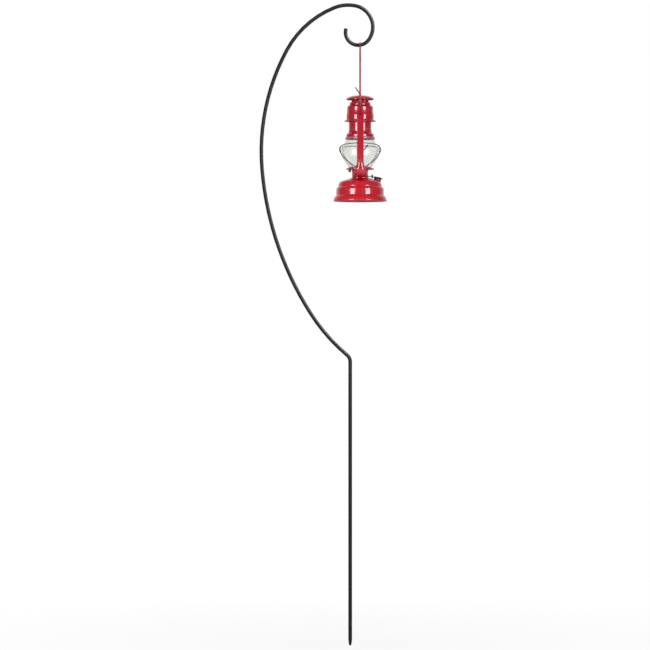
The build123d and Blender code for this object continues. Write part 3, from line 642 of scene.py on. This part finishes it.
hook = {
    "radius": 4.7625,
    "tip": [
        (0.6, 0), (1.4, 0.25), (2.1, 0.65), (2.8, 1.5), (3.5, 3.1), (4.1, 3.4), (4.55, 4.2),
        (4.7625, 1.9),
    ],
    "stake": 704.0,
    "bends": [
        (22.0, 49.9), (463.38, -17.4), (803.48, -27.9), (540.7, -32.8), (237.91, -39.8),
        (94.62, -32.6), (55.1, -115.9), (32.4, -160.8),
    ],
    "endRound": 0.8,
}
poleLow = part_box("hook_pole")[0]
polePiece = bendBar(
    "gardenHook", hook["radius"], (0, 0, poleLow.z), (0, 0, 1), (0, -1, 0),
    [("run", hook["stake"])] + [("bend", radius, turn) for radius, turn in hook["bends"]],
    points=28, tip=hook["tip"],
)
softenEnds(polePiece, hook["endRound"])
fitOut(polePiece, "pole", blackPowder, ["hook_pole"])

bail = {
    "radius": 1.5, "halfSpan": 60.5, "hookRadius": 3.2, "pin": 9.5, "leg": 102.8,
    "hookEnd": (-44.6, 242.4), "endRound": 0.4,
}
bailPiece = bendBar(
    "bailWire", bail["radius"], onLantern(0, *bail["hookEnd"]), (0, 0, -1), (1, 0, 0),
    [
        ("run", bail["hookRadius"]), ("bend", bail["hookRadius"], -90), ("run", bail["pin"]),
        ("bend", bail["hookRadius"], -90), ("run", bail["leg"]), ("bend", bail["halfSpan"], -180),
        ("run", bail["leg"]), ("bend", bail["hookRadius"], -90), ("run", bail["pin"]),
        ("bend", bail["hookRadius"], -90), ("run", bail["hookRadius"]),
    ],
    points=16,
)
softenEnds(bailPiece, bail["endRound"])
fitOut(bailPiece, "bail", redWire, ["bail"])

ring = {
    "radius": 10.6, "wire": 0.9, "lean": 35.0, "gap": 7.0, "pivot": 271.4, "endRound": 0.25
}
lean = math.radians(ring["lean"])
ringUp = Vector((-math.sin(lean), 0, math.cos(lean)))
ringNormal = Vector((math.cos(lean), 0, math.sin(lean)))
ringCentre = onLantern(0, 0, ring["pivot"]) + ringUp * (ring["radius"] * mm)
ringFrom = Matrix.Rotation(math.radians(ring["gap"] / 2), 3, ringNormal) @ ringUp
ringPiece = bendBar(
    "liftingRing", ring["wire"], ringCentre + ringFrom * (ring["radius"] * mm),
    ringNormal.cross(ringFrom), ringNormal, [("bend", ring["radius"], 360 - ring["gap"])],
    points=12,
)
softenEnds(ringPiece, ring["endRound"])
fitOut(ringPiece, "hood_ring", redWire, ["hood_ring"])


def routeWire(name, route, radius):
    clearSelection()
    bpy.ops.curve.primitive_nurbs_path_add()
    wire = bpy.context.object
    wire.name = name
    spline = wire.data.splines[0]
    spline.points.add(len(route) - len(spline.points))
    for point, place in zip(spline.points, route):
        point.co = (*place, 1.0)
    spline.order_u = 3
    spline.use_endpoint_u = True
    wire.data.resolution_u = 10
    wire.data.bevel_depth = radius * mm
    wire.data.bevel_resolution = 4
    wire.data.use_fill_caps = True
    bpy.ops.object.convert(target="MESH")
    wire = bpy.context.object
    mergeAndTurnOut(wire)
    settle(wire, 50)
    return wire


guard = {
    "radius": 1.0,
    "reach": 50.2,
    "crossingLift": 2.4,
    "high": 144.5,
    "drop": 61.5,
    "route": [
        (0.12, -63.0, 0.0), (0.66, -44.9, 0.02), (0.93, -21.8, 0.055), (1.0, 0.0, 0.163),
        (0.99, 15.8, 0.29), (0.91, 27.7, 0.43), (0.68, 45.5, 0.71), (0.20, 63.0, 1.0),
    ],
}
for face, faceName in ((-1, "front"), (1, "rear")):
    for side, lift, layer in ((1, 0.0, "inner"), (-1, guard["crossingLift"], "outer")):
        wirePiece = routeWire(
            faceName + "Guard" + layer.title(),
            [
                onLantern(
                    face * (guard["reach"] + lift) * reach, side * place,
                    guard["high"] - guard["drop"] * drop,
                )
                for reach, place, drop in guard["route"]
            ],
            guard["radius"],
        )
        fitOut(wirePiece, "lantern", guardEnamel, [f"{faceName}_guard_{layer}"])
print("bar and wires done")

# side tubes
tube = {
    "place": 66.0,
    "halfWidth": 8.6,
    "flatAt": 7.5,
    "roundTo": 18.0,
    "wall": 0.8,
    # place, height, direction from straight out, half width, half depth
    "scoop": [
        (17.5, 68.0, -6, 13.8, 7.65), (35.0, 65.8, -6, 16.6, 7.95), (55.5, 66.8, 26, 17.6, 8.5),
        (64.9, 75.0, 86, 14.8, 8.5), (64.2, 83.0, 88, 11.4, 7.9), (63.9, 90.0, 90, 9.2, 7.3),
        (64.0, 96.0, 90, 8.6, 7.2),
    ],
    "straight": (101.0, 104.0, 197.5),
    "crownRadius": 14.0,
    "crownSteps": 14,
    "ringPoints": 40,
    "innerEnd": 30.5,
    "solder": (35.3, 7.9, 1.0),
    "foldFrom": 30.0,
    "foldCrease": 0.9,
}


def sideTube(name, side):
    clearSelection()
    rings = tube["scoop"] + [
        (tube["place"], height, 90, tube["halfWidth"], tube["roundTo"])
        for height in tube["straight"]
    ]
    for number, (place, height, turn, halfWidth, halfDepth) in enumerate(rings):
        out = math.radians(turn)
        centre = onLantern(0, side * place, height)
        bpy.ops.mesh.primitive_circle_add(
            vertices=tube["ringPoints"], radius=halfDepth * mm, location=centre,
            rotation=(math.atan2(-side * math.cos(out), math.sin(out)), 0, 0),
        )
        if number == 0:
            piece = bpy.context.object
            piece.name = name
            bpy.ops.object.transform_apply(location=True, rotation=True)
            bpy.ops.object.mode_set(mode="EDIT")
            bpy.ops.mesh.select_all(action="SELECT")
        bpy.ops.transform.resize(value=(halfWidth / halfDepth, 1, 1), center_override=centre)
    flattenFaces(piece, side)
    # the crown's elbow, and its run into the canopy
    straightTop = tube["straight"][-1]
    crownFoot = onLantern(0, 0, straightTop).z
    pickByPlace(piece, "VERT", lambda point: point.z > crownFoot - mm)
    pivot = onLantern(0, side * (tube["place"] - tube["crownRadius"]), straightTop)
    bpy.ops.mesh.spin(
        steps=tube["crownSteps"], angle=math.radians(90) * side * spinSense, center=pivot,
        axis=(1, 0, 0),
    )
    reach = tube["place"] - tube["crownRadius"] - tube["innerEnd"]
    bpy.ops.mesh.extrude_edges_move(
        TRANSFORM_OT_translate={"value": (0, -side * reach * mm, 0)}
    )
    bpy.ops.object.mode_set(mode="OBJECT")
    return piece


def flattenFaces(piece, side):
    # the straight run is pressed flat on its outer and inner faces
    straightFoot = onLantern(0, 0, tube["straight"][0]).z - mm
    for face in (-1, 1):
        flat = side * (tube["place"] + face * tube["flatAt"]) * mm
        pickByPlace(
            piece, "VERT",
            lambda point: point.z > straightFoot and (point.y - flat) * side * face > 0,
        )
        bpy.ops.transform.resize(value=(1, 0, 1), center_override=(lanternX, flat, 0))
        bpy.ops.object.mode_set(mode="OBJECT")


def bridgeRings(piece, rings):
    # joins each ring of the scoop and the straight run to the next
    points = tube["ringPoints"]
    for number in range(rings - 1):
        pickOnly(piece)
        first = number * points
        bpy.ops.object.mode_set(mode="EDIT")
        bpy.ops.mesh.select_mode(type="EDGE")
        bpy.ops.mesh.select_all(action="DESELECT")
        bpy.ops.object.mode_set(mode="OBJECT")
        for edge in piece.data.edges:
            low, high = min(edge.vertices), max(edge.vertices)
            within = first <= low and high < first + 2 * points
            edge.select = within and (low - first) // points == (high - first) // points
        bpy.ops.object.mode_set(mode="EDIT")
        bpy.ops.mesh.bridge_edge_loops()
        bpy.ops.object.mode_set(mode="OBJECT")


def creaseFolds(piece):
    # the pressed corners of the straight run and the crown stay tight; the scoop stays soft
    straightFoot = onLantern(0, 0, tube["straight"][0]).z - mm
    bpy.ops.object.mode_set(mode="EDIT")
    bpy.ops.mesh.select_mode(type="EDGE")
    bpy.ops.mesh.select_all(action="DESELECT")
    bpy.ops.mesh.edges_select_sharp(sharpness=math.radians(tube["foldFrom"]))
    bpy.ops.object.mode_set(mode="OBJECT")
    for edge in piece.data.edges:
        lowest = min(piece.data.vertices[v].co.z for v in edge.vertices)
        edge.select = edge.select and lowest > straightFoot
    bpy.ops.object.mode_set(mode="EDIT")
    bpy.ops.transform.edge_crease(value=tube["foldCrease"])
    bpy.ops.object.mode_set(mode="OBJECT")


for side, name, node in ((-1, "nearTube", "left_tube"), (1, "farTube", "right_tube")):
    tubePiece = sideTube(name, side)
    bridgeRings(tubePiece, len(tube["scoop"]) + len(tube["straight"]))
    mergeAndTurnOut(tubePiece)
    creaseFolds(tubePiece)
    applyModifier(tubePiece, "SUBSURF", levels=1, render_levels=1)
    applyModifier(tubePiece, "SOLIDIFY", thickness=tube["wall"] * mm, offset=-1)
    settle(tubePiece, 40)
    place, radius, bead = tube["solder"]
    clearSelection()
    bpy.ops.mesh.primitive_torus_add(
        location=onLantern(0, side * place, tube["straight"][-1] + tube["crownRadius"]),
        rotation=(math.radians(90), 0, 0), major_segments=48, minor_segments=10,
        major_radius=radius * mm, minor_radius=bead * mm,
    )
    tubePiece = joinPieces(tubePiece, bpy.context.object)
    fitOut(tubePiece, "lantern", redEnamel, [node])
print("tubes done")


# small pieces, dressed copies of their solids
dressedAngle = 34


def dressCopy(node, name, body, material):
    clearSelection()
    piece = bpy.data.objects.new(name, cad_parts[node].data.copy())
    bpy.context.scene.collection.objects.link(piece)
    mergeAndTurnOut(piece)
    settle(piece, dressedAngle)
    fitOut(piece, body, material, [node])


dressCopy("air_box", "airBoxDrum", "lantern", redEnamel)
dressCopy("burner_cone", "burnerCone", "lantern", brass)
dressCopy("burner_cup", "burnerCup", "lantern", brass)
dressCopy("filler_neck", "fillerNeck", "lantern", shadedNeckEnamel)
dressCopy("filler_gasket", "fillerSeal", "filler_seal", sealRubber)
dressCopy("filler_cap", "fillerCap", "filler_cap", shadedMaroonEnamel)
dressCopy("globe_plate", "globePlate", "globe_carrier", redEnamel)
dressCopy("plate_knob", "plateKnob", "globe_carrier", shadedMaroonEnamel)
dressCopy("wick_knob", "wickKnob", "wick_winder", darkSteel)
dressCopy("lift_lever", "liftLever", "lift_lever", leverEnamel)
dressCopy("lever_bracket", "leverBracket", "lantern", redEnamel)
dressCopy("left_ear", "nearEar", "lantern", redEnamel)
dressCopy("right_ear", "farEar", "lantern", redEnamel)
dressCopy("hood_lug", "hoodLug", "hood", redEnamel)

carriedOver = {
    "tank_bottom": redEnamel,
    "wick_tube": brass,
    "wick_shaft": darkSteel,
    "spur_wheels": brass,
    "wick": wickCotton,
}
for node, material in carriedOver.items():
    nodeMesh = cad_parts[node].data
    nodeMesh.materials.clear()
    nodeMesh.materials.append(material)
print("small pieces done")

# studio
studio = {
    "floorZ": poleLow.z,
    "cameraX": -0.0638,
    "cameraZ": 0.558,
    "distance": 7.2,
    "frameWidth": 1.6465,
    "sensor": 36.0,
    "clipEnd": 100,
    "aimHeight": 150,
    "boxAngle": 37.5,
    "boxDistance": 3.0,
    "boxSize": (1.12, 1.6),
    "boxHeight": 1.1,
    "boxPower": 42.0,
    "streakPlace": (1.9, -1.0, 2.8),
    "streakAt": (0.0, 0.0, 0.9),
    "streakSize": 0.6,
    "streakPower": 360.0,
    "skyDiffuse": 0.5,
    "skyFront": 0.1,
    "roomFrom": 0.3,
    "roomTo": 1.0,
    "floorSize": 900,
    "floorTone": 0.6,
    "floorRough": 0.9,
    "floorNear": 0.9,
    "floorFadeFrom": 0.15,
    "floorFadeTo": 1.3,
}
bpy.ops.object.camera_add(
    location=(studio["cameraX"], -studio["distance"], studio["cameraZ"]),
    rotation=(math.radians(90), 0, 0),
)
camera = bpy.context.object
camera.name = "photoCamera"
camera.data.sensor_width = studio["sensor"]
camera.data.lens = studio["sensor"] * studio["distance"] / studio["frameWidth"]
camera.data.clip_end = studio["clipEnd"]
bpy.context.scene.camera = camera

lanternMiddle = onLantern(0, 0, studio["aimHeight"])
for name, turn in (("leftBox", -studio["boxAngle"]), ("rightBox", studio["boxAngle"])):
    angle = math.radians(turn)
    place = Vector((
        lanternMiddle.x + studio["boxDistance"] * math.sin(angle),
        lanternMiddle.y - studio["boxDistance"] * math.cos(angle),
        studio["boxHeight"],
    ))
    bpy.ops.object.light_add(type="AREA", location=place)
    lamp = bpy.context.object
    lamp.name = name
    lamp.data.shape = "RECTANGLE"
    lamp.data.size, lamp.data.size_y = studio["boxSize"]
    lamp.data.energy = studio["boxPower"]
    facing = Vector((lanternMiddle.x, lanternMiddle.y, studio["boxHeight"])) - place
    lamp.rotation_euler = facing.to_track_quat("-Z", "Y").to_euler()

# a small lamp high on the right draws the streak along the hook's bar and lights nothing else
bpy.ops.object.light_add(type="AREA", location=studio["streakPlace"])
streak = bpy.context.object
streak.name = "streakLamp"
streak.data.size = studio["streakSize"]
streak.data.energy = studio["streakPower"]
facing = Vector(studio["streakAt"]) - streak.location
streak.rotation_euler = facing.to_track_quat("-Z", "Y").to_euler()
barOnly = bpy.data.collections.new("barOnly")
barOnly.objects.link(polePiece)
streak.light_linking.receiver_collection = barOnly

world = bpy.data.worlds.new("studioWorld")
bpy.context.scene.world = world
world.use_nodes = True
tree = world.node_tree
background = tree.nodes["Background"]
background.inputs["Color"].default_value = (1, 1, 1, 1)
path = tree.nodes.new("ShaderNodeLightPath")
direction = tree.nodes.new("ShaderNodeTexCoord")
axes = tree.nodes.new("ShaderNodeSeparateXYZ")
tree.links.new(direction.outputs["Generated"], axes.inputs["Vector"])
# the room is white behind the object and dimmer on the camera's side
room = rangeOn(
    tree, axes.outputs["Y"], studio["skyFront"], 1.0, studio["roomFrom"], studio["roomTo"]
)
seen = tree.nodes.new("ShaderNodeMath")
seen.operation = "MAXIMUM"
tree.links.new(path.outputs["Is Camera Ray"], seen.inputs[0])
tree.links.new(path.outputs["Is Transmission Ray"], seen.inputs[1])
byGloss = tree.nodes.new("ShaderNodeMix")
byGloss.inputs[2].default_value = studio["skyDiffuse"]
tree.links.new(path.outputs["Is Glossy Ray"], byGloss.inputs[0])
tree.links.new(room.outputs["Result"], byGloss.inputs[3])
bySight = tree.nodes.new("ShaderNodeMix")
bySight.inputs[3].default_value = 1.0
tree.links.new(seen.outputs["Value"], bySight.inputs[0])
tree.links.new(byGloss.outputs[0], bySight.inputs[2])
tree.links.new(bySight.outputs[0], background.inputs["Strength"])

clearSelection()
bpy.ops.mesh.primitive_plane_add(
    size=studio["floorSize"], location=(0, 0, studio["floorZ"])
)
floor = bpy.context.object
floor.name = "paleFloor"
floorMaterial, tree, shader, place = startMaterial("palePaper")
shader.inputs["Base Color"].default_value = (*[studio["floorTone"]] * 3, 1)
shader.inputs["Roughness"].default_value = studio["floorRough"]
glow = tree.nodes.new("ShaderNodeEmission")
glow.inputs["Strength"].default_value = 1.0
mixed = tree.nodes.new("ShaderNodeMixShader")
path = tree.nodes.new("ShaderNodeLightPath")
sight = tree.nodes.new("ShaderNodeMath")
sight.operation = "MAXIMUM"
tree.links.new(path.outputs["Is Camera Ray"], sight.inputs[0])
tree.links.new(path.outputs["Is Transmission Ray"], sight.inputs[1])
# white to the eye, with the object's own shadow kept round its foot
away = tree.nodes.new("ShaderNodeVectorMath")
away.operation = "LENGTH"
tree.links.new(place.outputs["Object"], away.inputs[0])
fade = rangeOn(
    tree, away.outputs["Value"], studio["floorNear"], 1.0, studio["floorFadeFrom"],
    studio["floorFadeTo"],
)
keep = tree.nodes.new("ShaderNodeMath")
keep.operation = "MULTIPLY"
tree.links.new(fade.outputs["Result"], keep.inputs[1])
tree.links.new(sight.outputs["Value"], keep.inputs[0])
tree.links.new(keep.outputs["Value"], mixed.inputs["Fac"])
tree.links.new(shader.outputs["BSDF"], mixed.inputs[1])
tree.links.new(glow.outputs["Emission"], mixed.inputs[2])
tree.links.new(mixed.outputs["Shader"], tree.nodes["Material Output"].inputs["Surface"])
floor.data.materials.append(floorMaterial)

bpy.context.scene.view_settings.view_transform = "Standard"
print("studio done")
